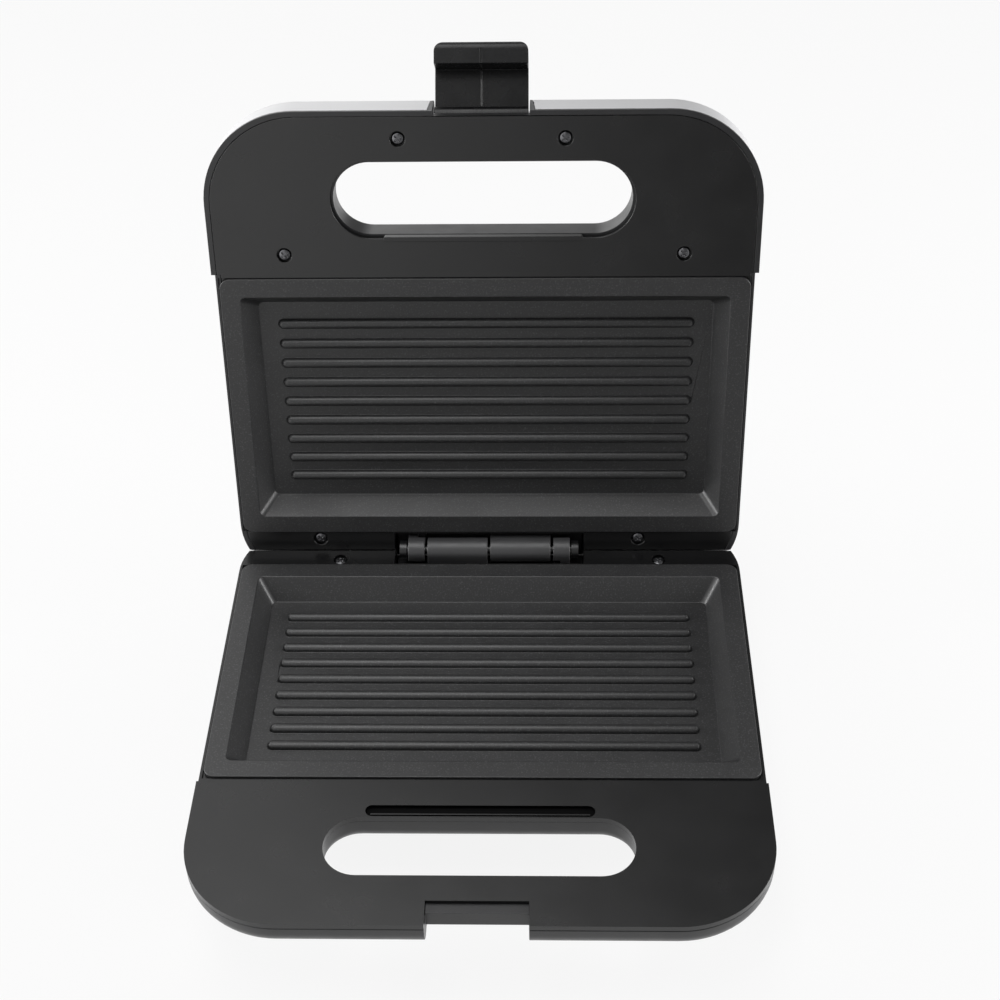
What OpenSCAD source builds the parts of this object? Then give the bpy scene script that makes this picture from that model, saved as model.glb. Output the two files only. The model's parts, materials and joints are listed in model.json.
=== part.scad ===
// Sandwich toaster: two hinged halves with ribbed non-stick plates, a pass-through
// hand slot in each half and a flip latch on the lid. Millimetres, +Z up. The origin
// is under the middle of the open toaster, at the level that the feet stand on.
//
// Each half is modelled in its own half frame: X across, Y forward from the hinge
// axis (s in the comments) and Z away from the parting plane (t in the comments).

/* [Pose] */
// Angle between the two halves at rest
open_angle = 102; // [90:0.5:110]
// Angle that the latch is flipped back from its closed place
latch_back_angle = 119; // [90:1:125]

/* [Body] */
// How far the body stands out past the plates, each side
side_w = 1.4; // [0.8:0.1:9]
// Depth of each half from the parting plane to its outer face
body_t = 42; // [38:0.5:52]
// Reach of the body behind the hinge axis
rear_reach = 18; // [14:0.5:24]
// Corner radius of the body at the rear, in plan
rear_corner_r = 30; // [20:1:36]
// Radius of the body's outer edges
body_edge_r = 8; // [4:0.5:9]
// Radius of the crest between the outer face and the slope to the handle
crest_r = 14; // [10:0.5:20]
// Wall of the plastic housings
wall_t = 2.2; // [1.6:0.1:2.8]
// Height of the feet
foot_h = 5; // [3:0.5:10]
// Radius of the feet
foot_r = 7.5; // [5:0.5:10]

/* [Handle] */
// Reach of the handles in front of the plates
handle_l = 67.2; // [60:0.2:80]
// How far the lower handle stands out past the body, each side
handle_overhang = 0.8; // [0.2:0.1:8]
// Corner radius of the handles, in plan
handle_corner_r = 38; // [28:1:44]
// Distance from the parting plane to a handle's outer face
handle_t = 16.5; // [15:0.5:22]
// Radius of a handle's outer edges
handle_edge_r = 9; // [5:0.5:10]
// Gap between the plates and the handles' rear faces
handle_gap = 1.6; // [0.6:0.1:4]
// Distance from the plates to the end of the slope on the handle
slope_gap = 11.2; // [10:0.1:14]
// Length of the slope from the body's outer face to the handle
slope_l = 22; // [16:0.5:28]
// Length of the lower hand slot
slot_l = 117.6; // [100:0.2:124]
// Width of the lower hand slot
slot_w = 26.6; // [24:0.2:28]
// Distance from the lower handle's front edge to its hand slot
slot_margin = 21.8; // [20:0.2:24]
// Rounding of the lower hand slot's outer edge
slot_edge_r = 7.5; // [3:0.5:7.5]

/* [Lid handle] */
// Distance from the parting plane to the lid handle's outer face
lid_handle_t = 19; // [16.5:0.5:21]
// Radius of the lid handle's outer edges
lid_edge_r = 4; // [3.5:0.5:8]
// Length of the lid's hand slot
lid_slot_l = 120.2; // [104:0.2:124]
// Width of the lid's hand slot
lid_slot_w = 30; // [26:0.2:31]
// Distance from the lower handle's reach to the lid's hand slot
lid_slot_margin = 19; // [18:0.2:22]
// Rounding of the lid's hand slot at its outer edge
lid_slot_edge_r = 4.5; // [2:0.5:5]
// How much wider the lid frame's opening is than its hand slot, each side
slot_ledge = 1.1; // [0.5:0.1:2]
// How far the lip beside the lid's hand slot lies over the lid frame
lip_overlap = 1.2; // [0.8:0.1:1.6]

/* [Frames] */
// Distance from the parting plane to the frames
frame_top_t = 1.5; // [1:0.1:1.8]
// Distance from the parting plane to the frames' outer face
frame_bottom_t = 4; // [3.6:0.1:4.6]
// Gap that shows between a lower frame and its housing
split_gap = 0.4; // [0.2:0.1:0.6]
// Black rim of the lid housing that shows round the lid frame
lid_rim_w = 2.3; // [1.5:0.1:3]
// How much narrower the lid frame is than the lower handle, each side
lid_frame_inset = 1.5; // [0:0.1:2]
// Length of the long recess behind the lower slot and of the lip that meets it
recess_l = 88; // [60:1:96]
// Width of the long recess
recess_w = 5.2; // [3:0.2:5.4]
// Depth of the long recess
recess_depth = 1.4; // [0.8:0.1:1.6]
// Distance from the long recess to the hand slot
recess_gap = 0.6; // [0.4:0.1:2]
// Height of the lip over the lid frame
lip_h = 0.6; // [0.2:0.1:0.8]

/* [Lid cover] */
// Wall of the silver lid cover
cover_wall_t = 0.9; // [0.6:0.1:1.2]
// Distance from the parting plane at which the silver cover begins
cover_start_t = 3.2; // [2.6:0.1:6]
// Radius of the indicator lenses
lens_r = 4.2; // [3:0.1:6]

/* [Cooking plates] */
// Width of a plate
plate_w = 218; // [200:0.5:250]
// Front-to-back length of a plate
plate_l = 120; // [112:0.5:140]
// Reach from the hinge axis to a plate
plate_s = 8.8; // [8.4:0.1:12]
// Distance from the parting plane to a plate's rim
rim_t = 0.5; // [0.3:0.1:0.8]
// Width of the flat rim
rim_w = 8; // [5:0.5:10]
// Width of the sloped wall in plan
slope_w = 5.8; // [3:0.2:8]
// Depth of the well under the rim
well_depth = 10; // [8:0.5:12]
// Metal thickness of the plates
plate_t = 2; // [1.6:0.1:2]
// Corner radius of a plate
plate_corner_r = 4.5; // [2:0.5:8]
// Radius of the wells' upright corners
well_corner_r = 3; // [1:0.5:6]
// Number of ribs on each plate
rib_count = 9; // [5:1:9]
// Distance between ribs
rib_pitch = 9.05; // [7:0.05:9.2]
// Gap between the ribs' ends and the sloped wall
rib_end_gap = 7.7; // [3:0.1:20]
// Width of the ribs
rib_w = 4.4; // [2.5:0.1:5]
// Height of the ribs
rib_h = 2.4; // [1.5:0.1:3]

/* [Hinge] */
// Radius of the hinge barrels
barrel_r = 5.4; // [4.6:0.1:5.8]
// Length of a hinge barrel
barrel_l = 26.7; // [20:0.1:26.8]
// Gap between neighbouring barrels
barrel_gap = 1.2; // [0.6:0.1:2]
// Width of the hinge ears
ear_w = 7.4; // [5:0.1:7.8]
// Gap between the hinge pin's ends and the trough that the hinge sits in
trough_end_gap = 2.4; // [1:0.1:8]
// Reach of the trough in front of the hinge axis
trough_s = 7.4; // [6.6:0.1:7.8]
// Depth of the trough from the parting plane
trough_t = 13; // [12:0.5:15]
// Radius of the hinge pin
pin_r = 2; // [1.5:0.1:2.6]
// Radial clearance of the turning barrels on their pins
running_gap = 0.05; // [0.03:0.01:0.09]

/* [Latch] */
// Width of the latch
latch_w = 37; // [24:0.5:44]
// Gap beside the latch in the notch and in the lid's latch pocket
latch_gap = 0.5; // [0.4:0.1:2]
// Depth of the notch from the front edge
notch_depth = 10.7; // [10:0.1:11.4]
// Distance of the latch pivot behind the handle's front edge
pivot_inset = 2; // [1.6:0.1:2.4]
// Distance from the parting plane to the latch pivot
pivot_t = 9; // [8:0.1:9.6]
// Thickness of the latch plate
latch_plate_t = 3.2; // [2.4:0.1:4]
// Distance from the latch pivot to the latch's tip
latch_l = 28; // [26:0.5:34]
// Depth of the latch's hooked lip
lip_depth = 9.5; // [8.6:0.1:9.6]
// Distance from the parting plane to the underside of the catch bar
catch_t = 9.7; // [7:0.1:11]
// Thickness of the catch bar, front to back
catch_bar_s = 4.4; // [3:0.1:4.6]

/* [Screws] */
// Radius of the screw shanks
screw_r = 1.4; // [1.2:0.05:1.5]
// Radius of the screw heads
head_r = 2.7; // [2.4:0.05:2.8]
// Gap round the screw heads in their recesses
head_gap = 0.4; // [0.2:0.05:0.6]

/* [Heating] */
// Radius of the heating tube
heater_r = 3.2; // [2.5:0.1:3.4]
// Distance from the plates' ends to the heating tube
heater_end_gap = 34; // [26:1:44]
// Distance from the plates' long edges to the heating tube
heater_edge_gap = 21; // [18:1:28]
// Thickness of the heat shields
shield_t = 0.8; // [0.5:0.1:1.2]

/* [Cord inlet] */
// Radius of the cord passage
cord_r = 3.1; // [2.5:0.1:3.4]
// Wall of the cord gland
gland_wall = 1.2; // [0.8:0.1:1.5]
// Distance of the cord inlet to the right of the middle
cord_x = 58; // [40:1:66]

/* [Hidden] */
$fn = 96;

eps = 0.01;
bevel = open_angle / 2;                    // slope of the rear faces that meet when open
bevel_gap = 0.25;                          // space from each rear face to the stop plane

body_w = plate_w + 2 * side_w;
handle_w = body_w + 2 * handle_overhang;
plate_end_s = plate_s + plate_l;
plate_mid_s = plate_s + plate_l / 2;
handle_reach = plate_end_s + handle_l;
handle_start = plate_end_s + handle_gap;
// Hand slots: length, width, reach, rounding, and outer face of their handle
lower_slot = [slot_l, slot_w, handle_reach - slot_margin - slot_w / 2, slot_edge_r, handle_t];
lid_slot = [lid_slot_l, lid_slot_w, handle_reach - lid_slot_margin - lid_slot_w / 2,
            lid_slot_edge_r, lid_handle_t];
far = 2 * handle_reach;                    // reach of the blocks that only cut

slope_end = plate_end_s + slope_gap;
slope_start = slope_end - slope_l;
slope_lean = atan2(slope_l, body_t - handle_t);

lid_frame_w = handle_w - 2 * lid_frame_inset;
lid_w = lid_frame_w + 2 * lid_rim_w;       // outer width of the lid's handle
lid_reach = handle_reach + lid_rim_w;      // outer reach of the lid's handle
frame_gap = 0.15;                          // gap round the lid frame in its rim
seat_gap = 0.3;                            // gap round a plate on its frame
seat_t = rim_t + plate_t;                  // where a plate's rim seats on its frame
well_t = rim_t + well_depth;               // floor of a well
under_t = well_t + plate_t;                // underside of a plate
opening_inset = rim_w - 3;                 // frame opening inside the plate's edge
wall_run = slope_w / well_depth;             // lean of the wells' walls
rib_l = plate_w - 2 * (rim_w + slope_w + rib_end_gap);

notch_w = latch_w + 2 * latch_gap;
notch_s = handle_reach - notch_depth;      // rear wall of the latch notch
pivot_s = handle_reach - pivot_inset;
latch_pin_r = 1.5;
knuckle_r = 3.6;                           // latch round its pin
pocket_l = 12;                             // lid's latch pocket behind the front edge
pocket_s = handle_reach - pocket_l;
pocket_rim = 2.2;                          // walls beside the latch pocket, and
pocket_rim_end = 0.9;                      // the same at the handle's outer face
pocket_floor_t = frame_bottom_t + 1.2;
catch_top_t = frame_top_t + 1.5;           // inner face of the catch bar

ear_x = barrel_gap / 2 + barrel_l + barrel_gap;
pin_end_x = ear_x + ear_w + 0.7;
pin_head_l = 3;
trough_w = 2 * (pin_end_x + pin_head_l + trough_end_gap);
web_back = 3;                              // hinge webs behind the axis
bracket_t = 2.5;
bracket_back = 6.5;                        // hinge brackets behind the axis
bracket_gap = 0.5;

head_recess_r = head_r + head_gap;
boss_r = head_recess_r + 0.5;
shank_gap = 0.2;
front_screw_x = notch_w / 2 + 14;
side_screw_x = handle_w / 2 - 30;
screw_places = [
  [-front_screw_x, handle_reach - 8.9], [front_screw_x, handle_reach - 8.9],
  [-side_screw_x, handle_start + 8.5], [side_screw_x, handle_start + 8.5]
];
rear_screw_s = plate_s - 4;
rear_screw_places = [[-trough_w / 2 - 24.1, rear_screw_s], [trough_w / 2 + 33.1, rear_screw_s]];
head_seat_t = frame_top_t + 1.5;           // where a frame screw's head sits
head_h = 1.25;
boss_l = 7;                                // lower frame's bosses for its screws
lower_head_t = handle_t - 2;               // where the lower screws' heads sit

heater_w = plate_w - 2 * heater_end_gap;
heater_l = plate_l - 2 * heater_edge_gap;
heater_t = under_t + heater_r;             // centre of the heating tube
heater_bend = 14;
heater_back_s = plate_mid_s - heater_l / 2;
terminal_x = 26;
terminal_l = 6;                            // heater's terminals past its tube
terminal_r = 1.4;
terminal_t = heater_t + heater_r + terminal_l;
shield_top_t = under_t + 2 * heater_r + 2.4;
plate_boss_x = heater_w / 2 - 23;
plate_boss_s = heater_l / 2 - 17;
plate_boss_places = [for (x = [-1, 1], s = [-1, 1])
  [x * plate_boss_x, plate_mid_s + s * plate_boss_s]];
plate_boss_r = 4;
clip_w = 12;
clip_t = 0.8;

foot_peg_r = 2.6;
foot_x = body_w / 2 - 22.4;
front_row_s = slope_start - 14;            // front feet and indicator lenses
foot_rows = [16 - rear_reach, front_row_s];

gland_t = body_t - body_edge_r - 4.6;
gland_r = cord_r + gland_wall;
gland_flange = 1.2;
gland_inner_l = 3;
block_x = cord_x - 34;                     // terminal block, and its two leads
block_lead_x = 8;
wire_r = 1.2;
wire_t = shield_top_t + 8;                 // level of the leads over the heat shields
lens_x = 13;
lens_t = 1.4;
lamp_r = 2.4;
lamp_l = 9;

hinge_z = body_t + foot_h;
latch_face_r = pivot_s + 2.9;              // inner face of the closed latch plate
// Rearmost point of the open toaster, behind the hinge axis: the latch's outer tip
lean = open_angle - 90;
latch_lean = lean + latch_back_angle - 90;
pivot_back = pivot_s * sin(lean) + pivot_t * cos(lean);
latch_out = latch_face_r + latch_plate_t - pivot_s;
tip_back = pivot_back + latch_l * sin(latch_lean) + latch_out * cos(latch_lean);
hinge_y = (handle_reach - tip_back) / 2;

// ---- placing the halves ----

module in_base() { translate([0, hinge_y, hinge_z]) rotate([180, 0, 0]) children(); }

module in_lid() {
  translate([0, hinge_y, hinge_z]) rotate([-open_angle, 0, 0]) rotate([0, 0, 180]) children();
}

module in_latch() {
  in_lid() translate([0, pivot_s, pivot_t]) rotate([latch_back_angle, 0, 0]) children();
}

// ---- outlines and masses shared by both halves ----

// Section across one edge: straight wall from t0, then a rounded outer edge at t1
module edge_section(reach, t0, t1, r) {
  translate([0, t0]) square([reach, t1 - r - t0]);
  translate([0, t0]) square([reach - r, t1 - t0]);
  translate([reach - r, t1 - r]) intersection() {
    circle(r);
    square(r);
  }
}

module both_edges_section(half_w, t0, t1, r) {
  edge_section(half_w, t0, t1, r);
  mirror([1, 0]) edge_section(half_w, t0, t1, r);
}

// Handle with round corners and a rounded outer edge
module handle_mass(half_w, reach, r, t0, t1, edge, s0) {
  cx = half_w - r;
  cs = reach - r;
  translate([0, cs, 0]) rotate([90, 0, 0]) linear_extrude(cs - s0)
    both_edges_section(half_w, t0, t1, edge);
  translate([cx, cs, 0]) rotate_extrude(angle = 90) edge_section(r, t0, t1, edge);
  translate([-cx, cs, 0]) rotate([0, 0, 90]) rotate_extrude(angle = 90)
    edge_section(r, t0, t1, edge);
  translate([-cx, cs, 0]) rotate([90, 0, 90]) linear_extrude(2 * cx)
    edge_section(r, t0, t1, edge);
}

// Body with round rear corners, as far as the end of the slope
module body_mass(inset, t0) {
  half_w = body_w / 2 - inset;
  t1 = body_t - inset;
  edge = body_edge_r - inset;
  r = rear_corner_r - inset;
  cx = half_w - r;
  cs = rear_corner_r - rear_reach;
  s1 = slope_end + 2;
  translate([0, s1, 0]) rotate([90, 0, 0]) linear_extrude(s1 - cs)
    both_edges_section(half_w, t0, t1, edge);
  translate([cx, cs, 0]) rotate([0, 0, 270]) rotate_extrude(angle = 90)
    edge_section(r, t0, t1, edge);
  translate([-cx, cs, 0]) rotate([0, 0, 180]) rotate_extrude(angle = 90)
    edge_section(r, t0, t1, edge);
  translate([cx, cs, 0]) rotate([90, 0, 270]) linear_extrude(2 * cx)
    edge_section(r, t0, t1, edge);
}

// Turned about the crest's axis, from the outer face (share 0) to the slope (share 1)
module in_slope(share) {
  crest_t = body_t - crest_r;
  crest_s = slope_end - crest_r / cos(slope_lean) - (crest_t - handle_t) * tan(slope_lean);
  translate([0, crest_s, crest_t]) rotate([share * (slope_lean - 90), 0, 0]) children();
}

// Space past the crest and the slope, and past the slope's side edges
module slope_cut(inset) {
  reach = crest_r - inset;
  edge = body_edge_r - inset;
  edge_x = body_w / 2 - body_edge_r;
  for (share = [1 / 3, 2 / 3, 1]) in_slope(share) half_space(reach);
  for (side = [-1, 1], turn = [22.5, 45, 67.5]) in_slope(1)
    translate([side * edge_x, 0, reach - edge]) rotate([0, side * turn, 0]) half_space(edge);
}

module half_space(z) {
  translate([-far, -far, z]) cube([2 * far, 2 * far, far]);
}

// Space behind the bevelled rear face
module bevel_cut(inset) {
  back = 2 * body_t;
  start_t = (bevel_gap + inset) / cos(bevel);
  translate([-far, 0, 0]) rotate([90, 0, 90]) linear_extrude(2 * far) polygon([
    [0, -back], [0, start_t], [-back, start_t + back * tan(bevel)], [-back, -back]
  ]);
}

// Whole half, drawn in by inset on every side, from t0 outwards
module half_mass(inset, t0, half_w, reach, outer_t, edge, bevel_inset) {
  difference() {
    union() {
      handle_mass(half_w - inset, reach - inset, handle_corner_r - inset, t0,
                  outer_t - inset, max(edge - inset, 0.5), handle_start + inset);
      difference() {
        body_mass(inset, t0);
        slope_cut(inset);
      }
    }
    bevel_cut(bevel_inset);
  }
}

module lower_mass(inset, t0) {
  half_mass(inset, t0, handle_w / 2, handle_reach, handle_t, handle_edge_r, inset);
}

module lid_mass(inset, t0, bevel_inset) {
  half_mass(inset, t0, lid_w / 2, lid_reach, lid_handle_t, lid_edge_r, bevel_inset);
}

// Flat outline of a half with a handle of this width and reach
module half_outline(half_w, reach, r, side_w) {
  cs = reach - r;
  translate([-half_w, handle_start]) square([2 * half_w, cs - handle_start]);
  translate([r - half_w, cs]) square([2 * (half_w - r), r]);
  for (side = [-1, 1]) translate([side * (half_w - r), cs]) circle(r);
  rear_outline(side_w);
}

module rear_outline(side_w) {
  r = rear_corner_r - (body_w - side_w) / 2;
  translate([-side_w / 2, rear_corner_r - rear_reach])
    square([side_w, handle_start - rear_corner_r + rear_reach + eps]);
  for (side = [-1, 1])
    translate([side * (side_w / 2 - r), rear_corner_r - rear_reach]) circle(r);
  translate([r - side_w / 2, -rear_reach])
    square([side_w - 2 * r, rear_corner_r]);
}

module stadium(l, w) {
  square([l - w, w], center = true);
  for (side = [-1, 1]) translate([side * (l - w) / 2, 0]) circle(w / 2);
}

module slot_prism(slot, grow, t0, t1) {
  translate([0, slot[2], t0]) linear_extrude(t1 - t0)
    stadium(slot[0] + 2 * grow, slot[1] + 2 * grow);
}

// Hand slot with its outer edge rounded over
module slot_cut(slot) {
  w = slot[1] / 2;
  x = slot[0] / 2 - w;
  slot_prism(slot, 0, -far, far);
  translate([0, slot[2], 0]) {
    for (side = [-1, 1]) translate([side * x, 0, 0]) rotate_extrude() slot_edge(slot);
    for (turn = [0, 180]) rotate([0, 0, turn]) translate([-x, 0, 0])
      rotate([90, 0, 90]) linear_extrude(2 * x) slot_edge(slot);
  }
}

module slot_edge(slot) {
  r = slot[3];
  edge_x = slot[1] / 2 + r;
  edge_t = slot[4] - r;
  difference() {
    translate([0, edge_t]) square([edge_x, r + eps]);
    translate([edge_x, edge_t]) circle(r);
  }
}

module trough_space(grow, t) {
  translate([-trough_w / 2 - grow, -far, -far])
    cube([trough_w + 2 * grow, far + trough_s + grow, far + t]);
}

// ---- screws ----

module cross_recess(depth) {
  for (turn = [45, 135]) rotate([0, 0, turn]) translate([-1.6, -0.35, -depth])
    cube([3.2, 0.7, depth + 1]);
}

// Pan-head screw: head above z = 0, shank below
module screw(shank_l) {
  difference() {
    union() {
      cylinder(h = head_h * 0.5, r = head_r);
      translate([0, 0, head_h * 0.5]) intersection() {
        cylinder(h = head_h * 0.5, r = head_r);
        translate([0, 0, head_h * 0.5 - head_r * 2.2]) sphere(head_r * 2.2);
      }
    }
    translate([0, 0, head_h]) cross_recess(0.8);
  }
  translate([0, 0, -shank_l]) cylinder(h = shank_l + eps, r = screw_r);
}

module frame_screw(place, shank_l) {
  translate([place[0], place[1], head_seat_t]) rotate([180, 0, 0]) screw(shank_l);
}

module screw_hole(place, t0, t1, r) {
  translate([place[0], place[1], t0]) cylinder(h = t1 - t0, r = r);
}

// ---- frames ----

module plate_opening() {
  translate([-plate_w / 2 + opening_inset, plate_s + opening_inset])
    square([plate_w - 2 * opening_inset, plate_l - 2 * opening_inset]);
}

module plate_seat_cut() {
  translate([-plate_w / 2 - seat_gap, plate_s - seat_gap, -far])
    cube([plate_w + 2 * seat_gap, plate_l + 2 * seat_gap, far + seat_t]);
}

module frame_screw_cuts(places) {
  for (place = places) {
    screw_hole(place, -1, head_seat_t, head_recess_r);
    screw_hole(place, 0, frame_bottom_t + eps, screw_r + shank_gap);
  }
}

module frame_body(half_w, reach, r, side_w, slot, slot_grow) {
  difference() {
    translate([0, 0, frame_top_t]) linear_extrude(frame_bottom_t - frame_top_t) difference() {
      half_outline(half_w, reach, r, side_w);
      plate_opening();
      translate([0, slot[2]]) stadium(slot[0] + 2 * slot_grow, slot[1] + 2 * slot_grow);
    }
    plate_seat_cut();
    bevel_cut(0);
    trough_space(0, trough_t);
  }
}

// Long recess behind the lower hand slot
module long_recess() {
  translate([0, lower_slot[2] - slot_w / 2 - recess_gap - recess_w / 2, frame_top_t - 1])
    linear_extrude(1 + recess_depth) stadium(recess_l, recess_w);
}

// Thin ridge along the recess
module recess_ridge() {
  ridge_w = 0.6;
  translate([-recess_l / 2 + 2, lower_slot[2] - slot_w / 2 - recess_gap - 0.35 * recess_w,
             frame_top_t + recess_depth / 2])
    cube([recess_l - 4, ridge_w, recess_depth / 2 + 0.3]);
}

module lower_frame() color("#26262a") in_base() {
  difference() {
    frame_body(handle_w / 2, handle_reach, handle_corner_r, body_w, lower_slot, 0);
    notch_cut();
    frame_screw_cuts(rear_screw_places);
    long_recess();
  }
  recess_ridge();
  for (place = screw_places) difference() {
    screw_hole(place, frame_bottom_t - eps, frame_bottom_t + boss_l, boss_r);
    screw_hole(place, frame_bottom_t, frame_bottom_t + boss_l + 1, screw_r);
  }
}

module notch_cut() {
  translate([-notch_w / 2, notch_s, -far]) cube([notch_w, far, 2 * far]);
}

module lid_frame() color("#2a2a2e") in_lid() {
  difference() {
    frame_body(lid_frame_w / 2, handle_reach, handle_corner_r - 1.5,
               body_w - 2 * lid_rim_w, lid_slot, slot_ledge);
    frame_screw_cuts(concat(screw_places, rear_screw_places));
  }
  slot_lip();
}

// Lip on the plate side of the lid's hand slot, which covers the housing's ledge there
module slot_lip() {
  lip_w = slot_ledge + lip_overlap - 0.2;
  frame_s = lid_slot[2] - lid_slot_w / 2 - slot_ledge;
  translate([0, frame_s - lip_overlap + lip_w / 2, frame_top_t - lip_h])
    linear_extrude(frame_bottom_t - frame_top_t + lip_h) rounded_rect(recess_l - 7, lip_w, 1);
}

// ---- housings ----

// Wall round a hand slot that leaves the housing's wall inside the rounded edge
function slot_wall(slot) = max(slot[3], wall_t);

// Space inside a housing, from the parting plane
module cavity(lid) {
  difference() {
    if (lid) lid_mass(wall_t + cover_wall_t, -1, wall_t);
    else lower_mass(wall_t, -1);
    slot_prism(lid ? lid_slot : lower_slot, slot_wall(lid ? lid_slot : lower_slot), -far, far);
    trough_space(wall_t, trough_t + wall_t);
    for (place = rear_screw_places) screw_hole(place, frame_bottom_t, far, boss_r);
    if (lid) {
      pocket_block(0);
      for (place = screw_places) screw_hole(place, frame_bottom_t, far, boss_r);
    } else {
      translate([-notch_w / 2 - wall_t, notch_s - wall_t, -far])
        cube([notch_w + 2 * wall_t, far, 2 * far]);
      for (place = screw_places)
        screw_hole(place, frame_bottom_t + boss_l + 0.2, far, boss_r + 1);
    }
  }
}

module rear_pilot_holes() {
  for (place = rear_screw_places) screw_hole(place, 0, head_seat_t + rear_shank_l + 2, screw_r);
}

// Vents under the lower heat shield
module vent_slots() {
  for (i = [-2:2]) translate([0, plate_mid_s - 10 + i * 9, body_t - wall_t / 2])
    linear_extrude(wall_t * 2, center = true) stadium(60, 3);
}

module lower_housing() color("#1c1c1e") in_base() {
  lip_inset = wall_t / 2;
  difference() {
    union() {
      lower_mass(0, frame_bottom_t + split_gap);
      intersection() {
        lower_mass(lip_inset, frame_bottom_t);
        translate([-far, -far, frame_bottom_t]) cube([2 * far, 2 * far, split_gap + eps]);
      }
    }
    cavity(false);
    slot_cut(lower_slot);
    trough_space(0, trough_t);
    notch_cut();
    rear_pilot_holes();
    for (place = screw_places) {
      screw_hole(place, 0, far, screw_r + shank_gap);
      screw_hole(place, lower_head_t, far, head_recess_r);
    }
    vent_slots();
    for (x = [-foot_x, foot_x], s = foot_rows)
      translate([x, s, body_t - 10]) cylinder(h = 20, r = foot_peg_r);
    translate([cord_x, 0, gland_t]) rotate([90, 0, 0]) cylinder(h = far, r = gland_r);
  }
  translate([-notch_w / 2 - eps, notch_s - eps, catch_top_t])
    cube([notch_w + 2 * eps, catch_bar_s + eps, catch_t - catch_top_t]);
}

// Pocket in the lid's front that the latch turns in, with its walls
module pocket_block(gap) {
  x0 = notch_w / 2 + pocket_rim + gap;
  x1 = notch_w / 2 + pocket_rim_end + gap;
  translate([0, pocket_s - wall_t - gap + far, 0]) rotate([90, 0, 0]) linear_extrude(far)
    polygon([[-x0, -1], [x0, -1], [x1, lid_handle_t + 1], [-x1, lid_handle_t + 1]]);
}

module pocket_cut() {
  translate([-notch_w / 2, pocket_s, pocket_floor_t]) cube([notch_w, far, far]);
  translate([-notch_w / 2, handle_reach + 0.2, -far]) cube([notch_w, far, 2 * far]);
}

module lens_holes() {
  for (side = [-1, 1]) translate([side * lens_x, front_row_s, body_t - 6])
    cylinder(h = 12, r = lens_r - 0.6);
}

module lid_housing() color("#1c1c1e") in_lid() {
  rim_gap = 0.1;
  difference() {
    union() {
      lid_mass(cover_wall_t, frame_top_t, 0);
      intersection() {
        lid_mass(0, frame_top_t, 0);
        union() {
          translate([-far, -far, 0]) cube([2 * far, 2 * far, cover_start_t - rim_gap]);
          pocket_block(0);
        }
      }
    }
    cavity(true);
    plate_seat_cut();
    lid_frame_space();
    slot_cut(lid_slot);
    trough_space(0, trough_t);
    pocket_cut();
    rear_pilot_holes();
    for (place = screw_places) screw_hole(place, 0, head_seat_t + lid_shank_l + 1.5, screw_r);
    translate([0, pivot_s, pivot_t]) rotate([0, 90, 0])
      cylinder(h = latch_pin_l + 0.2, r = latch_pin_r, center = true);
    lens_holes();
  }
}

// Room for the lid frame inside the lid housing's rim
module lid_frame_space() {
  translate([0, 0, -far]) linear_extrude(far + frame_bottom_t)
    half_outline(lid_frame_w / 2 + frame_gap, handle_reach + frame_gap, handle_corner_r - 1.5,
                 body_w - 2 * lid_rim_w + 2 * frame_gap);
}

module lid_outer_cover() color("#c9cbce") in_lid() {
  difference() {
    lid_mass(0, cover_start_t, 0);
    lid_mass(cover_wall_t, cover_start_t - 1, 0);
    slot_prism(lid_slot, lid_slot_edge_r + 0.3, -far, far);
    pocket_block(0.2);
    trough_space(0.3, trough_t);
    lid_frame_space();
    lens_holes();
  }
}

// ---- cooking plates ----

// Block with sloped walls: a well, or the metal round it
module well_block(inset_top, inset_bottom, t0, t1) {
  x0 = plate_w / 2 - inset_top;
  x1 = plate_w / 2 - inset_bottom;
  y0 = plate_l / 2 - inset_top;
  y1 = plate_l / 2 - inset_bottom;
  translate([0, plate_mid_s, 0]) intersection() {
    translate([0, far, 0]) rotate([90, 0, 0]) linear_extrude(2 * far)
      polygon([[-x0, t0], [x0, t0], [x1, t1], [-x1, t1]]);
    translate([-far, 0, 0]) rotate([90, 0, 90]) linear_extrude(2 * far)
      polygon([[-y0, t0], [y0, t0], [y1, t1], [-y1, t1]]);
  }
}

// Well with round corners, and a little space in front of it
module well_space() {
  difference() {
    well_block(rim_w - wall_run, rim_w + slope_w, rim_t - 1, well_t);
    translate([0, plate_mid_s, well_t]) for (x = [0, 1], y = [0, 1])
      mirror([x, 0, 0]) mirror([0, y, 0])
        translate([plate_w / 2 - rim_w - slope_w, plate_l / 2 - rim_w - slope_w, 0])
          wall_corner_cut(well_corner_r);
  }
}

// Space past the round corner between two sloped walls that meet at the origin
module wall_corner_cut(r) {
  lean = atan(wall_run * sqrt(2));
  half = 90 - acos(wall_run * wall_run / (1 + wall_run * wall_run)) / 2;
  touch = r / tan(half);
  x = -touch * cos(half);
  y = touch * sin(half);
  rotate([0, 0, 45]) rotate([0, -lean, 0]) linear_extrude(4 * well_depth, center = true)
    difference() {
      polygon([[x, -y], [x + r * sin(half), -y - r * cos(half)],
               [x + r * sin(half), y + r * cos(half)], [x, y]]);
      translate([-r / sin(half), 0]) circle(r);
    }
}

module rounded_rect(l, w, r) {
  square([l - 2 * r, w], center = true);
  square([l, w - 2 * r], center = true);
  for (x = [-1, 1], y = [-1, 1])
    translate([x * (l / 2 - r), y * (w / 2 - r)]) circle(r);
}

module rib(s) {
  r = rib_w / 2;
  end_x = rib_l / 2 - r;
  t = well_t - rib_h + r;
  translate([0, s, t]) {
    rotate([0, 90, 0]) cylinder(h = 2 * end_x, r = r, center = true);
    for (side = [-1, 1]) translate([side * end_x, 0, 0]) sphere(r);
  }
}

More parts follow.
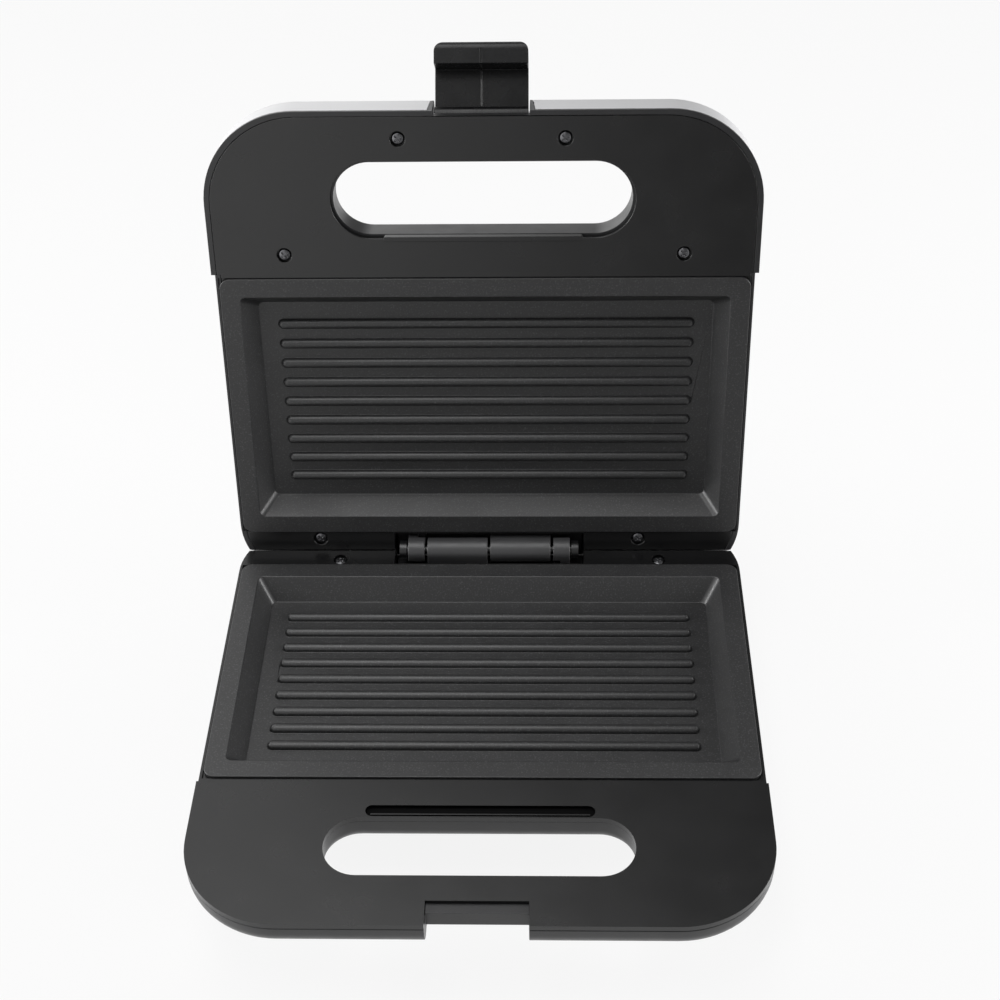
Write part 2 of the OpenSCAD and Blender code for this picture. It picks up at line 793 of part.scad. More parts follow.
module cooking_plate() {
  skin = plate_t * sqrt(1 + wall_run * wall_run);
  top_inset = rim_w - skin + wall_run * (seat_t - rim_t);
  difference() {
    union() {
      translate([0, plate_mid_s, rim_t]) linear_extrude(plate_t)
        rounded_rect(plate_w, plate_l, plate_corner_r);
      well_block(top_inset, rim_w + slope_w - skin + wall_run * plate_t, seat_t - eps, under_t);
    }
    well_space();
  }
  for (i = [0:rib_count - 1]) intersection() {
    rib(plate_mid_s + (i - (rib_count - 1) / 2) * rib_pitch);
    translate([-far, -far, 0]) cube([2 * far, 2 * far, well_t + plate_t / 2]);
  }
  for (place = plate_boss_places) difference() {
    screw_hole(place, under_t - eps, shield_top_t, plate_boss_r);
    screw_hole(place, under_t + 1, shield_top_t + 1, screw_r);
  }
}

module lower_plate() color("#3a3a3c") in_base() cooking_plate();
module upper_plate() color("#3a3a3c") in_lid() cooking_plate();

// ---- heating ----

module heater_bend_piece(turn) {
  rotate([0, 0, turn]) rotate_extrude(angle = 90) translate([heater_bend, 0]) circle(heater_r);
}

module heating_loop() {
  x = heater_w / 2 - heater_bend;
  y = heater_l / 2 - heater_bend;
  translate([0, plate_mid_s, heater_t]) {
    for (side = [-1, 1]) {
      translate([side * heater_w / 2, 0, 0]) rotate([90, 0, 0])
        cylinder(h = 2 * y, r = heater_r, center = true);
      translate([side > 0 ? terminal_x : -x, -heater_l / 2, 0]) rotate([0, 90, 0])
        cylinder(h = x - terminal_x, r = heater_r);
      translate([side * terminal_x, -heater_l / 2, 0]) {
        sphere(heater_r);
        cylinder(h = heater_r + terminal_l, r = terminal_r);
      }
    }
    translate([0, heater_l / 2, 0]) rotate([0, 90, 0])
      cylinder(h = 2 * x, r = heater_r, center = true);
    translate([x, y, 0]) heater_bend_piece(0);
    translate([-x, y, 0]) heater_bend_piece(90);
    translate([-x, -y, 0]) heater_bend_piece(180);
    translate([x, -y, 0]) heater_bend_piece(270);
  }
}

// Bridge that presses the heating tube to the plate, at the origin and across X
module heater_clip() {
  half = heater_r + 1.2;
  for (side = [-1, 1]) {
    translate([side > 0 ? half - clip_t : -half, -clip_w / 2, 0])
      cube([clip_t, clip_w, 2 * heater_r]);
    translate([side > 0 ? half - clip_t : -half - 5 + clip_t, -clip_w / 2, 0])
      cube([5, clip_w, clip_t]);
  }
  translate([-half, -clip_w / 2, 2 * heater_r]) cube([2 * half, clip_w, clip_t]);
}

module heater_clips() {
  for (side = [-1, 1]) translate([side * heater_w / 2, plate_mid_s, under_t]) heater_clip();
  translate([0, plate_mid_s + heater_l / 2, under_t]) rotate([0, 0, 90]) heater_clip();
}

module heat_shield() {
  margin = 14;
  window_l = 2 * terminal_x + 32;
  translate([0, plate_mid_s, shield_top_t]) linear_extrude(shield_t) difference() {
    rounded_rect(plate_w - 2 * margin, plate_l - 2 * margin, 6);
    translate([0, -plate_l / 2 + margin]) square([window_l, 30], center = true);
    rounded_rect(44, 26, 3);
    for (place = plate_boss_places) translate([place[0], place[1] - plate_mid_s])
      circle(screw_r + shank_gap);
  }
}

module plate_screws() {
  for (place = plate_boss_places)
    translate([place[0], place[1], shield_top_t + shield_t]) screw(6);
}

module lower_heater() color("#8f8a80") in_base() heating_loop();
module upper_heater() color("#8f8a80") in_lid() heating_loop();
module lower_heater_clips() color("#b8b8b8") in_base() heater_clips();
module upper_heater_clips() color("#b8b8b8") in_lid() heater_clips();
module lower_heat_shield() color("#cfcfcf") in_base() heat_shield();
module upper_heat_shield() color("#cfcfcf") in_lid() heat_shield();
module lower_plate_screws() color("#b0b0b0") in_base() plate_screws();
module upper_plate_screws() color("#b0b0b0") in_lid() plate_screws();

// Bimetal thermostat on the middle of the lower plate
module thermostat() color("#d8d2c0") in_base() translate([-10, plate_mid_s, under_t]) {
  cylinder(h = 1, r = 9.5);
  cylinder(h = 8, r = 8);
  for (side = [-1, 1]) translate([side * 5 - 0.4, -3, 8 - eps]) cube([0.8, 6, 5]);
}

// One-shot fuse in its sleeve beside the thermostat
module thermal_fuse() color("#e6e3da") in_base() translate([9, plate_mid_s, under_t + 2.2]) {
  rotate([0, 90, 0]) cylinder(h = 12, r = 2.2);
  translate([-2, 0, 0]) rotate([0, 90, 0]) cylinder(h = 2 + eps, r = 0.7);
  translate([12 - eps, 0, 0]) rotate([0, 90, 0]) cylinder(h = 2, r = 0.7);
}

module terminal_block() color("#efece2") in_base()
  translate([block_x, 6, body_t - wall_t]) mirror([0, 0, 1]) difference() {
    translate([-block_lead_x - 4, -5, 0]) cube([2 * block_lead_x + 8, 10, 11]);
    for (i = [-1:1]) translate([i * block_lead_x, 0, 5]) cylinder(h = 10, r = 2);
  }

// Insulated lead with round corners along straight legs
module lead(points, r) {
  for (i = [0:len(points) - 2]) {
    d = points[i + 1] - points[i];
    l = norm(d);
    translate(points[i]) rotate([0, acos(d[2] / l), atan2(d[1], d[0])])
      cylinder(h = l, r = r, $fn = 24);
  }
  for (p = points) translate(p) sphere(r * 1.08, $fn = 24);
}

module base_wires() color("#d9d4c8") in_base() {
  for (side = [-1, 1]) lead([
    [block_x + side * block_lead_x, 12.4, body_t - 8],
    [block_x + side * block_lead_x, 20, body_t - 8],
    [side * terminal_x, heater_back_s, wire_t + 3],
    [side * terminal_x, heater_back_s, terminal_t + 1.5]
  ], wire_r);
}

module lid_wires() color("#d9d4c8") in_lid() {
  for (side = [-1, 1]) lead([
    [side * terminal_x, heater_back_s, terminal_t + 1.5],
    [side * terminal_x, heater_back_s, wire_t],
    [side * lens_x, front_row_s - 16, wire_t + 3]
  ], wire_r);
}

// ---- cord inlet ----

module cord_gland() color("#151517") in_base()
  translate([cord_x, -rear_reach, gland_t]) rotate([90, 0, 0]) difference() {
    union() {
      translate([0, 0, -wall_t - gland_inner_l])
        cylinder(h = wall_t + gland_inner_l + 1.4, r = gland_r);
      cylinder(h = 1.4, r = gland_r + gland_flange);
      translate([0, 0, -wall_t - gland_inner_l])
        cylinder(h = gland_inner_l - 0.2, r = gland_r + gland_flange);
    }
    translate([0, 0, -far]) cylinder(h = 2 * far, r = cord_r);
  }

// Bridge that grips the cord inside, on two posts
module cord_clamp() color("#efece2") in_base() {
  post_w = 4;
  clamp_w = 6;
  bar_t = 2.5;
  inner_x = cord_r + 1;
  bar_floor_t = gland_t - cord_r - 0.1;
  for (side = [-1, 1])
    translate([cord_x + side * (inner_x + post_w / 2) - post_w / 2, -8, bar_floor_t - eps])
      cube([post_w, clamp_w, body_t - wall_t - bar_floor_t + eps]);
  translate([cord_x - inner_x - post_w, -8, bar_floor_t - bar_t])
    cube([2 * (inner_x + post_w), clamp_w, bar_t]);
}

// ---- feet ----

module foot(side, row) color("#2b2b2d") in_base()
  translate([side * foot_x, foot_rows[row], body_t]) {
    cylinder(h = foot_h - 1, r = foot_r);
    cylinder(h = foot_h, r = foot_r - 1);
    translate([0, 0, -wall_t - 1]) cylinder(h = wall_t + 1 + eps, r = foot_peg_r);
  }

module foot_front_left() foot(-1, 1);
module foot_front_right() foot(1, 1);
module foot_rear_left() foot(-1, 0);
module foot_rear_right() foot(1, 0);

// ---- frame screws ----

rear_shank_l = 11;
lid_shank_l = 8;
lower_shank_l = lower_head_t - frame_bottom_t - 1.5;

module lower_frame_screws() color("#9a9a9a") in_base()
  for (place = screw_places) translate([place[0], place[1], lower_head_t])
    screw(lower_shank_l);

module lower_rear_screws() color("#3c3c3e") in_base()
  for (place = rear_screw_places) frame_screw(place, rear_shank_l);

module lid_frame_screws() color("#3c3c3e") in_lid()
  for (place = screw_places) frame_screw(place, lid_shank_l);

module lid_rear_screws() color("#3c3c3e") in_lid()
  for (place = rear_screw_places) frame_screw(place, rear_shank_l);

// ---- hinge ----

module barrel(x0, l, bore_r) {
  difference() {
    union() {
      translate([x0, 0, 0]) rotate([0, 90, 0]) cylinder(h = l, r = barrel_r);
      translate([x0, -web_back, 0])
        cube([l, web_back + barrel_r, trough_t - bracket_t + eps]);
    }
    translate([x0 - 1, 0, 0]) rotate([0, 90, 0]) cylinder(h = l + 2, r = bore_r);
  }
}

// Bracket of one half: a long barrel, and an ear on the other side of the middle
module hinge_bracket(bore_r) {
  barrel(-barrel_gap / 2 - barrel_l, barrel_l, bore_r);
  difference() {
    barrel(ear_x, ear_w, bore_r);
    translate([ear_x - 1, -20, barrel_r * 0.35]) cube([1 + ear_w * 0.45, 40, 4]);
  }
  translate([bracket_gap - trough_w / 2, -bracket_back, trough_t - bracket_t])
    cube([trough_w - 2 * bracket_gap, bracket_back + trough_s - bracket_gap, bracket_t]);
}

module lower_hinge_bracket() color("#4a4a4d") in_base() hinge_bracket(pin_r);
module lid_hinge_bracket() color("#4a4a4d") in_lid() hinge_bracket(pin_r + running_gap);

module hinge_pin() color("#8c8c90") in_base() {
  rotate([0, 90, 0]) cylinder(h = 2 * pin_end_x + 2, r = pin_r, center = true);
  translate([pin_end_x, 0, 0]) rotate([0, 90, 0]) cylinder(h = pin_head_l, r = pin_r * 2);
}

module hinge_pin_cap() color("#5a5a5d") in_base()
  translate([-pin_end_x - pin_head_l, 0, 0]) rotate([0, 90, 0]) difference() {
    cylinder(h = pin_head_l, r = pin_r * 2);
    translate([0, 0, pin_head_l - 1]) cylinder(h = 2, r = pin_r);
  }

// ---- indicator lamps ----

module lens(side) {
  peg_l = cover_wall_t + wall_t + 1;
  translate([side * lens_x, front_row_s, body_t]) {
    intersection() {
      cylinder(h = lens_t, r = lens_r);
      translate([0, 0, lens_t - lens_r * 2]) sphere(lens_r * 2);
    }
    translate([0, 0, -peg_l]) cylinder(h = peg_l + eps, r = lens_r - 0.6);
  }
}

module power_lens() color("#b3261e") in_lid() lens(1);
module ready_lens() color("#3f8f3a") in_lid() lens(-1);

lamp_top_t = body_t - cover_wall_t - wall_t - 1.3;

module lamp(l) {
  translate([0, 0, lamp_top_t - lamp_l]) cylinder(h = l, r = lamp_r);
}

module indicator_lamps() color("#f0d9c8") in_lid()
  for (side = [-1, 1]) translate([side * lens_x, front_row_s, 0]) lamp(lamp_l);

module lamp_holder() color("#efece2") in_lid() difference() {
  edge = 2 * lamp_r;
  translate([-lens_x - edge, front_row_s - edge, lamp_top_t - lamp_l - 1])
    cube([2 * (lens_x + edge), 2 * edge, lamp_l - 2]);
  for (side = [-1, 1]) translate([side * lens_x, front_row_s, 0]) lamp(far);
}

// ---- latch ----

latch_pin_l = notch_w + 2 * pocket_rim - 1.8;

module latch_pin() color("#9a9a9e") in_lid() translate([0, pivot_s, pivot_t])
  rotate([0, 90, 0]) cylinder(h = latch_pin_l, r = latch_pin_r, center = true);

// Closed latch about its pivot: plate in front, knuckle on the pin, hooked lip below
module latch_section() {
  face = latch_face_r - pivot_s;
  catch = pivot_t + catch_t + 0.3;
  lip_r = 3;
  circle(knuckle_r);
  translate([0, -knuckle_r]) square([face + 1, 2 * knuckle_r]);
  translate([face, -latch_l]) square([latch_plate_t, latch_l + knuckle_r]);
  translate([face - lip_depth, -latch_l + lip_r])
    square([lip_depth + 1, latch_l - lip_r - catch]);
  translate([face - lip_depth + lip_r, -latch_l])
    square([lip_depth - 2, latch_l - catch]);
  translate([face - lip_depth + lip_r, -latch_l + lip_r]) circle(lip_r);
}

module latch() color("#222224") in_latch() {
  corner = 4.2;
  seam_w = 0.5;
  difference() {
    intersection() {
      translate([-latch_w / 2, 0, 0]) rotate([90, 0, 90]) linear_extrude(latch_w)
        latch_section();
      translate([0, far, 0]) rotate([90, 0, 0]) linear_extrude(2 * far) {
        translate([-latch_w / 2, -latch_l + corner]) square([latch_w, latch_l + 10]);
        translate([-latch_w / 2 + corner, -latch_l])
          square([latch_w - 2 * corner, latch_l]);
        for (side = [-1, 1])
          translate([side * (latch_w / 2 - corner), -latch_l + corner]) circle(corner);
      }
    }
    rotate([0, 90, 0])
      cylinder(h = latch_w + 2, r = latch_pin_r + running_gap, center = true);
  }
  // Seam down the middle of the inner face and of the lip
  translate([-seam_w / 2, latch_face_r - pivot_s - 0.4, -pivot_t - catch_t])
    cube([seam_w, 0.6, pivot_t + catch_t - 3]);
  translate([-seam_w / 2, latch_face_r - pivot_s - lip_depth - 0.15, -latch_l + 3])
    cube([seam_w, 0.6, latch_l - 3 - pivot_t - catch_t - 0.3]);
}

lower_housing();
lower_frame();
lower_plate();
lower_heater();
lower_heater_clips();
lower_heat_shield();
lower_plate_screws();
thermostat();
thermal_fuse();
terminal_block();
base_wires();
cord_gland();
cord_clamp();
foot_front_left();
foot_front_right();
foot_rear_left();
foot_rear_right();
lower_frame_screws();
lower_rear_screws();
lower_hinge_bracket();
hinge_pin();
hinge_pin_cap();
lid_housing();
lid_outer_cover();
lid_frame();
upper_plate();
upper_heater();
upper_heater_clips();
upper_heat_shield();
upper_plate_screws();
lid_frame_screws();
lid_rear_screws();
lid_hinge_bracket();
power_lens();
ready_lens();
indicator_lamps();
lamp_holder();
lid_wires();
latch_pin();
latch();
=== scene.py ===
import json
import math

import bpy
from mathutils import Matrix, Vector

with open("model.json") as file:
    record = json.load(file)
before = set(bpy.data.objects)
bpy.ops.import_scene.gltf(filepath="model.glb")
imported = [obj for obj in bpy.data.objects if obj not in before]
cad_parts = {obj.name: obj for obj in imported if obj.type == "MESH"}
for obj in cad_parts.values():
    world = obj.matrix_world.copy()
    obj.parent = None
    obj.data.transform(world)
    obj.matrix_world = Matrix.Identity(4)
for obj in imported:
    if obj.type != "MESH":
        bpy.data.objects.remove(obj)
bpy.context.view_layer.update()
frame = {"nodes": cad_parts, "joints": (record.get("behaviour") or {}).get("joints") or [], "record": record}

NODES = frame["nodes"]
HINGE = Vector(frame["joints"][0]["pos_m"])
MM = 0.001


# ---------------------------------------------------------------- node helpers

# Sockets of a colour Mix node, which has the same names once for each type of value
MIX_DARK, MIX_PALE, MIX_RESULT = 6, 7, 2
# Middle part of a noise's values, which is stretched over a whole change
SPAN = (0.3, 0.7)


def set_range(node, span, ends):
    """Sets a Map Range node to go from one end to the other across the span."""
    for socket, value in zip(("From Min", "From Max", "To Min", "To Max"), (*span, *ends)):
        node.inputs[socket].default_value = value


def math_node(tree, operation, first, second=None):
    """Output of a Math node; the second input may be a number."""
    node = tree.nodes.new("ShaderNodeMath")
    node.operation = operation
    tree.links.new(first, node.inputs[0])
    if isinstance(second, float):
        node.inputs[1].default_value = second
    elif second is not None:
        tree.links.new(second, node.inputs[1])
    return node.outputs[0]


def mix_shaders(tree, share, first, second):
    """Output that shows the second shader by the share, and else the first."""
    mix = tree.nodes.new("ShaderNodeMixShader")
    tree.links.new(share, mix.inputs[0])
    tree.links.new(first, mix.inputs[1])
    tree.links.new(second, mix.inputs[2])
    return mix.outputs[0]


def seen_share(tree, *rays):
    """1 on rays of these kinds, 0 on the others."""
    light = tree.nodes.new("ShaderNodeLightPath")
    share = light.outputs["Is %s Ray" % rays[0]]
    for ray in rays[1:]:
        share = math_node(tree, "MAXIMUM", share, light.outputs["Is %s Ray" % ray])
    return share


class Nodes:
    """A node material that is built up step by step."""

    def __init__(self, name):
        self.material = bpy.data.materials.new(name)
        self.material.use_nodes = True
        self.tree = self.material.node_tree
        self.shader = self.tree.nodes["Principled BSDF"]

    def add(self, kind, **inputs):
        node = self.tree.nodes.new(kind)
        for name, value in inputs.items():
            node.inputs[name].default_value = value
        return node

    def join(self, source, output, target, socket):
        self.tree.links.new(source.outputs[output], target.inputs[socket])

    def set(self, **values):
        """Constant values of the shader, with _ for the blanks in their names."""
        for name, value in values.items():
            self.shader.inputs[name.replace("_", " ")].default_value = value

    def noise(self, scale, detail, roughness=0.5):
        """Noise with its scale in cycles per metre of the object."""
        node = self.add("ShaderNodeTexNoise", Scale=scale, Detail=detail, Roughness=roughness)
        self.join(self.add("ShaderNodeTexCoord"), "Object", node, "Vector")
        return node

    def spread(self, source, span, ends):
        node = self.add("ShaderNodeMapRange")
        set_range(node, span, ends)
        self.join(source, 0, node, "Value")
        return node

    def tint(self, source, dark, pale):
        """Base colour that goes from dark to pale with the source."""
        node = self.add("ShaderNodeMix")
        node.data_type = "RGBA"
        node.inputs[MIX_DARK].default_value = (*dark, 1)
        node.inputs[MIX_PALE].default_value = (*pale, 1)
        self.join(source, 0, node, "Factor")
        self.join(node, MIX_RESULT, self.shader, "Base Color")

    def roughen(self, source, span, ends):
        """Roughness that goes from one end to the other with the source."""
        self.join(self.spread(source, span, ends), 0, self.shader, "Roughness")

    def bump(self, source, strength, distance, after=None):
        """Bump of the surface, laid over an earlier one if there is one."""
        node = self.add("ShaderNodeBump", Strength=strength, Distance=distance)
        self.join(source, 0, node, "Height")
        if after is not None:
            self.join(after, "Normal", node, "Normal")
        self.join(node, "Normal", self.shader, "Normal")
        return node


# ---------------------------------------------------------------- materials

def gloss_black():
    """Polished moulding: very dark, with a wide soft gloss and faint haze."""
    n = Nodes("gloss_black")
    n.set(IOR=1.5)
    n.tint(n.spread(n.noise(30, 3), SPAN, (0, 1)), (0.0045, 0.0045, 0.0047),
           (0.0065, 0.0065, 0.0068))
    n.roughen(n.noise(60, 3), (0.35, 0.7), (0.24, 0.28))
    n.bump(n.noise(25, 1), 0.02, 0.0003)
    return n.material


def satin_black(name, colour, roughness, ior=1.48):
    """Fine-grained moulding, with a little cloudiness in tone and gloss."""
    n = Nodes(name)
    n.set(IOR=ior)
    n.tint(n.spread(n.noise(38, 4), SPAN, (0, 1)), colour, tuple(c * 1.25 for c in colour))
    n.roughen(n.noise(120, 3), SPAN, (roughness - 0.05, roughness + 0.05))
    n.bump(n.noise(900, 2), 0.12, 0.0002)
    return n.material


def non_stick():
    """Sprayed coating: charcoal with fine pale speckle and a slight orange peel."""
    n = Nodes("non_stick")
    n.set(IOR=1.5)
    speck = n.noise(1500, 2, 0.6)
    n.tint(n.spread(speck, (0.55, 0.72), (0, 1)), (0.019, 0.019, 0.0195), (0.062, 0.062, 0.064))
    n.roughen(n.noise(45, 3), SPAN, (0.36, 0.44))
    peel = n.bump(n.noise(420, 2), 0.10, 0.00015)
    n.bump(speck, 0.2, 0.0001, peel)
    return n.material


def silver_paint():
    """Smooth light paint with a hint of metal, whose tone drifts slowly."""
    n = Nodes("silver_paint")
    n.set(Metallic=0.15, IOR=1.45)
    n.tint(n.spread(n.noise(6, 1), SPAN, (0, 1)), (0.69, 0.69, 0.70), (0.73, 0.73, 0.74))
    n.roughen(n.noise(9, 1), SPAN, (0.28, 0.32))
    return n.material


def metal(name, colour, roughness):
    """Bare metal with fine stains in colour and gloss."""
    n = Nodes(name)
    n.set(Metallic=1.0)
    n.tint(n.spread(n.noise(300, 4), (0.35, 0.65), (0, 1)), colour,
           tuple(min(1, c * 1.15) for c in colour))
    n.roughen(n.noise(500, 3), SPAN, (roughness - 0.06, roughness + 0.06))
    return n.material


def plain(name, colour, roughness):
    """Matt stuff such as ceramic, glass sleeve or rubber."""
    n = Nodes(name)
    n.set(Roughness=roughness)
    n.tint(n.spread(n.noise(200, 4), SPAN, (0, 1)), colour,
           tuple(min(1, c * 1.1) for c in colour))
    n.bump(n.noise(700, 2), 0.1, 0.0002)
    return n.material


def lens_material(name, colour):
    """Clear tinted plastic or glass."""
    n = Nodes(name)
    n.set(Roughness=0.08, Transmission_Weight=0.6, IOR=1.49)
    n.tint(n.spread(n.noise(400, 2), (0.4, 0.6), (0, 1)), tuple(c * 0.6 for c in colour), colour)
    return n.material


MATERIALS = {
    "frame": gloss_black(),
    "housing": satin_black("housing_black", (0.016, 0.016, 0.017), 0.33),
    "plate": non_stick(),
    "cover": silver_paint(),
    "hinge": satin_black("hinge_grey", (0.040, 0.040, 0.0415), 0.38),
    "latch": satin_black("latch_black", (0.005, 0.005, 0.0054), 0.26, 1.3),
    "steel": metal("zinc_steel", (0.52, 0.52, 0.53), 0.32),
    "dark_screws": metal("black_steel", (0.10, 0.10, 0.105), 0.3),
    "heater": metal("heater_steel", (0.33, 0.30, 0.27), 0.42),
    "shield": metal("bright_sheet", (0.75, 0.75, 0.76), 0.25),
    "ceramic": plain("ceramic", (0.78, 0.75, 0.66), 0.5),
    "wires": plain("glass_sleeve", (0.72, 0.69, 0.62), 0.8),
    "rubber": plain("rubber", (0.022, 0.022, 0.022), 0.75),
    "red_lens": lens_material("red_lens", (0.60, 0.02, 0.015)),
    "green_lens": lens_material("green_lens", (0.03, 0.34, 0.06)),
    "lamps": lens_material("lamp_glass", (0.85, 0.80, 0.72)),
    "black_pin": satin_black("black_pin", (0.006, 0.006, 0.0065), 0.32),
    # painted shade: near-black matt material for the floor and walls of the lower frame's recess, in place
    # of the groove's shadow
    "recess": satin_black("recess_painted_shade", (0.0012, 0.0012, 0.0013), 0.5, 1.12),
}

# Nodes with another finish than the rest of their material slot
OWN_FINISH = {"hinge_pin": "black_pin", "hinge_pin_cap": "black_pin"}


# ---------------------------------------------------------------- nodes

# Edge rounding in millimetres of the nodes that are seen, and whether their flat faces are
# merged first. All others keep their triangles, and a rounding that is held within them.
EDGE = {
    "lid_frame": (0.2, True),
    "lower_housing": (0.2, True),
    "lid_housing": (0.15, True),
    "lid_outer_cover": (0.2, True),
    "lower_plate": (0.3, True),
    "upper_plate": (0.3, True),
    "latch": (0.3, True),
    "lower_hinge_bracket": (0.4, True),
    "lid_hinge_bracket": (0.4, True),
    "lid_frame_screws": (0.1, False),
    "lid_rear_screws": (0.1, False),
    "lower_rear_screws": (0.1, False),
}
HELD_EDGE = (0.15, False)
EDGE_SEGMENTS = 3
# Corners sharper than this are rounded, and faces flatter than this are merged
SHARP = math.radians(28)
FLAT = math.radians(0.6)
WELD_DISTANCE = 0.002 * MM

# Depth of the long recess under the lower frame's face, and a length too small to matter
RECESS_DEPTH = 1.4 * MM
SLIGHT = 0.05 * MM


def soften(obj, width, merge, clamp):
    """Welds the exported triangles, and rounds the sharp edges a little."""
    mesh = obj.data
    mesh.polygons.foreach_set("use_smooth", [True] * len(mesh.polygons))
    if "custom_normal" in mesh.attributes:
        mesh.attributes.remove(mesh.attributes["custom_normal"])
    weld = obj.modifiers.new("weld", "WELD")
    weld.merge_threshold = WELD_DISTANCE
    if merge:
        flat = obj.modifiers.new("flat", "DECIMATE")
        flat.decimate_type = "DISSOLVE"
        flat.angle_limit = FLAT
    bevel = obj.modifiers.new("bevel", "BEVEL")
    bevel.width = width
    bevel.segments = EDGE_SEGMENTS
    bevel.limit_method = "ANGLE"
    bevel.angle_limit = SHARP
    bevel.use_clamp_overlap = clamp
    bevel.harden_normals = True
    bevel.miter_outer = "MITER_ARC"
    if not merge:
        even = obj.modifiers.new("even", "WEIGHTED_NORMAL")
        even.weight = 100


def faces_up(face):
    return face.normal.z > 0.9


def paint_recess_shade(obj):
    """Paints shade into the floor and walls of the recess behind the lower slot: a near-black matt
    material of their own stands in for the groove's shadow. The thin ridge along it keeps the frame's gloss."""
    mesh = obj.data
    mesh.materials.append(MATERIALS["recess"])
    top = max(v.co.z for v in mesh.vertices)
    floor = [face for face in mesh.polygons
             if faces_up(face) and abs(top - RECESS_DEPTH - face.center.z) < SLIGHT]
    points = [mesh.vertices[i].co for face in floor for i in face.vertices]
    low = [min(point[axis] for point in points) - SLIGHT for axis in range(3)]
    high = [max(point[axis] for point in points) + SLIGHT for axis in range(3)]
    for face in mesh.polygons:
        x, y, z = face.center
        ridge = faces_up(face) and z > high[2] + SLIGHT
        if low[0] < x < high[0] and low[1] < y < high[1] and z < top - SLIGHT and not ridge:
            face.material_index = 1


def dress_nodes():
    """Gives each carried-over node its finish and its rounded edges."""
    slots = {row["node"]: row["material_slot"] for row in frame["record"]["subparts"]}
    for name, obj in NODES.items():
        obj.data.materials.clear()
        obj.data.materials.append(MATERIALS[OWN_FINISH.get(name, slots[name])])
        width, merge = EDGE.get(name, HELD_EDGE)
        soften(obj, width * MM, merge, name not in EDGE)
    # painted shade in the recess behind the lower slot
    paint_recess_shade(NODES["lower_frame"])


# ---------------------------------------------------------------- stage

# Corners of the floor, and how far it is lifted to white where it is seen
FLOOR = (-0.9, -0.40), (0.9, 1.1)
FLOOR_LIFT = 0.88
# Even fill of the world
WORLD_FILL = 0.22
# The world as the gloss sees it, by the direction's sideways part from -1, left, to 1,
# right: a fall from left to right, and bright panels far to both sides. Each has the two
# directions between which it changes, and its levels there.
GLOSS_FALL = (-0.20, 0.14), (1.30, 0.20)
GLOSS_PANELS = (0.40, 0.70), (0.0, 1.2)
# Name, place, size, watts and aim of each lamp
LAMPS = (
    ("side_left", (-1.1, 0.03, 0.28), (0.3, 0.8), 11, (0, 0.05, 0.1)),
    ("side_right", (1.1, 0.03, 0.28), (0.3, 0.8), 11, (0, 0.05, 0.1)),
    ("top", (-0.2, 0.02, 1.5), (1.2, 0.5), 8.5, (0, 0, 0.1)),
)


def place(name, data):
    """Puts a new object into the scene."""
    obj = bpy.data.objects.new(name, data)
    bpy.context.scene.collection.objects.link(obj)
    return obj


def floor_material():
    """Pale floor, lifted towards white where it is seen, so that shadows stay soft."""
    n = Nodes("floor_white")
    n.set(Roughness=0.9)
    n.tint(n.noise(4, 2), (0.80, 0.80, 0.80), (0.83, 0.83, 0.83))
    white = n.add("ShaderNodeEmission", Strength=1.0)
    seen = seen_share(n.tree, "Camera", "Glossy", "Transmission")
    lift = math_node(n.tree, "MULTIPLY", seen, FLOOR_LIFT)
    surface = mix_shaders(n.tree, lift, n.shader.outputs["BSDF"], white.outputs[0])
    n.tree.links.new(surface, n.tree.nodes["Material Output"].inputs["Surface"])
    return n.material


def make_floor():
    mesh = bpy.data.meshes.new("floor")
    (x0, y0), (x1, y1) = FLOOR
    mesh.from_pydata([(x0, y0, 0), (x1, y0, 0), (x1, y1, 0), (x0, y1, 0)], [], [(0, 1, 2, 3)])
    mesh.materials.append(floor_material())
    place("floor", mesh)


def background(tree, strength):
    node = tree.nodes.new("ShaderNodeBackground")
    node.inputs["Color"].default_value = (1, 1, 1, 1)
    node.inputs["Strength"].default_value = strength
    return node


def smooth_step(tree, source, span, ends):
    """Soft change from one end to the other while the source crosses the span."""
    node = tree.nodes.new("ShaderNodeMapRange")
    node.interpolation_type = "SMOOTHSTEP"
    set_range(node, span, ends)
    tree.links.new(source, node.inputs["Value"])
    return node.outputs[0]


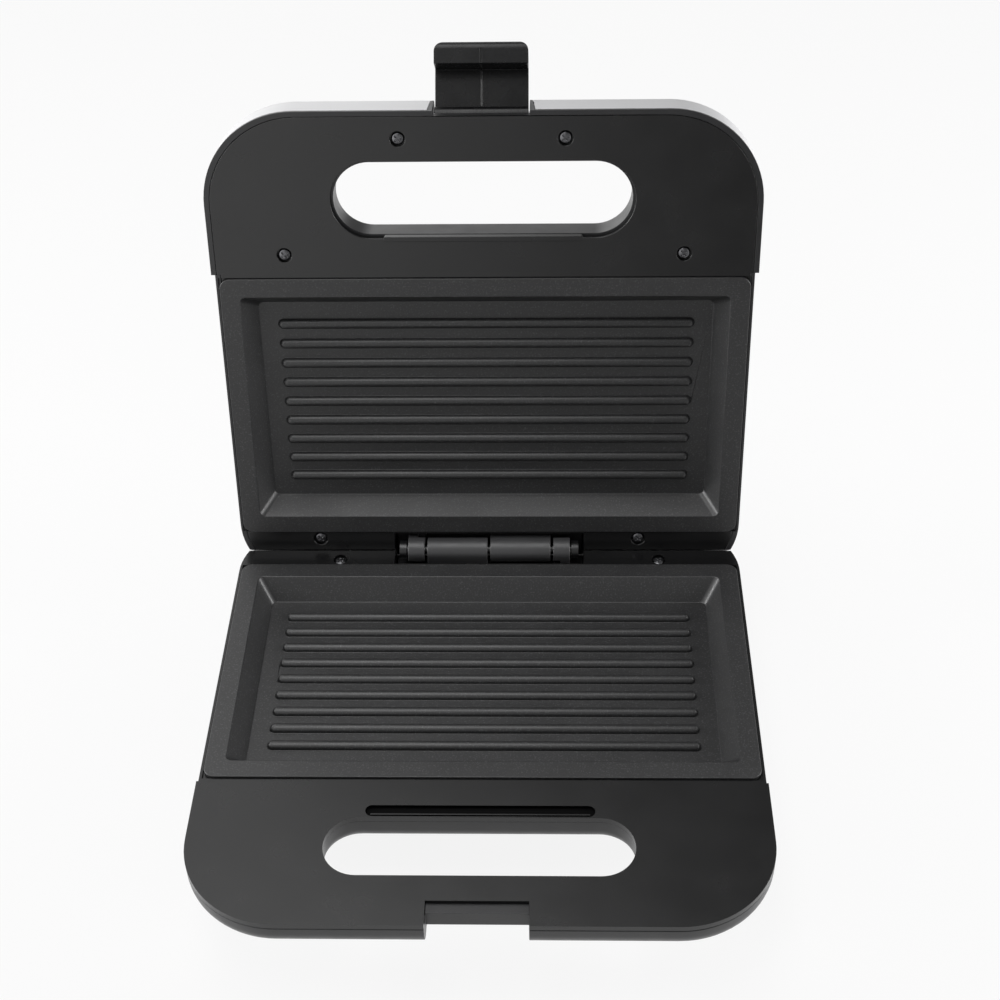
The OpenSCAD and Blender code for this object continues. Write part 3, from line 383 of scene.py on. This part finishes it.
def make_world():
    """White backdrop, a soft even fill, and a gloss that is brighter left and far aside."""
    world = bpy.data.worlds.new("studio")
    bpy.context.scene.world = world
    world.use_nodes = True
    tree = world.node_tree
    tree.nodes.clear()
    coordinates = tree.nodes.new("ShaderNodeTexCoord")
    axes = tree.nodes.new("ShaderNodeSeparateXYZ")
    tree.links.new(coordinates.outputs["Generated"], axes.inputs[0])
    sideways = axes.outputs["X"]
    fall = smooth_step(tree, sideways, *GLOSS_FALL)
    panels = smooth_step(tree, math_node(tree, "ABSOLUTE", sideways), *GLOSS_PANELS)
    gloss = background(tree, 1.0)
    tree.links.new(math_node(tree, "ADD", fall, panels), gloss.inputs["Strength"])
    lit = mix_shaders(tree, seen_share(tree, "Glossy"),
                      background(tree, WORLD_FILL).outputs[0], gloss.outputs[0])
    shown = mix_shaders(tree, seen_share(tree, "Camera", "Transmission"),
                        lit, background(tree, 1.0).outputs[0])
    out = tree.nodes.new("ShaderNodeOutputWorld")
    tree.links.new(shown, out.inputs["Surface"])


def make_lamps():
    for name, at, size, watts, aim in LAMPS:
        lamp = bpy.data.lights.new(name, "AREA")
        lamp.shape = "RECTANGLE"
        lamp.size, lamp.size_y = size
        lamp.energy = watts
        obj = place(name, lamp)
        obj.location = at
        obj.rotation_euler = (Vector(aim) - Vector(at)).to_track_quat("-Z", "Y").to_euler()


# ---------------------------------------------------------------- camera

# Camera as fitted to the photograph: its place from the middle of the hinge axis, its
# angles in degrees, and its focal length as a share of the picture's width
CAMERA_FROM_HINGE = Vector((24.58, -547.86, 512.94)) * MM
CAMERA_PITCH = 41.41
CAMERA_YAW = -2.01
CAMERA_ROLL = -1.37
FOCAL_SHARE = 1.68421
SENSOR_WIDTH = 36.0


def make_camera():
    data = bpy.data.cameras.new("camera")
    data.sensor_width = SENSOR_WIDTH
    data.lens = FOCAL_SHARE * SENSOR_WIDTH
    data.clip_start = 0.05
    camera = place("camera", data)
    turn = (Matrix.Rotation(math.radians(-CAMERA_YAW), 4, "Z")
            @ Matrix.Rotation(math.radians(90 - CAMERA_PITCH), 4, "X")
            @ Matrix.Rotation(math.radians(CAMERA_ROLL), 4, "Z"))
    camera.matrix_world = Matrix.Translation(HINGE + CAMERA_FROM_HINGE) @ turn
    bpy.context.scene.camera = camera


dress_nodes()
make_floor()
make_world()
make_lamps()
make_camera()
bpy.context.scene.view_settings.view_transform = "Standard"
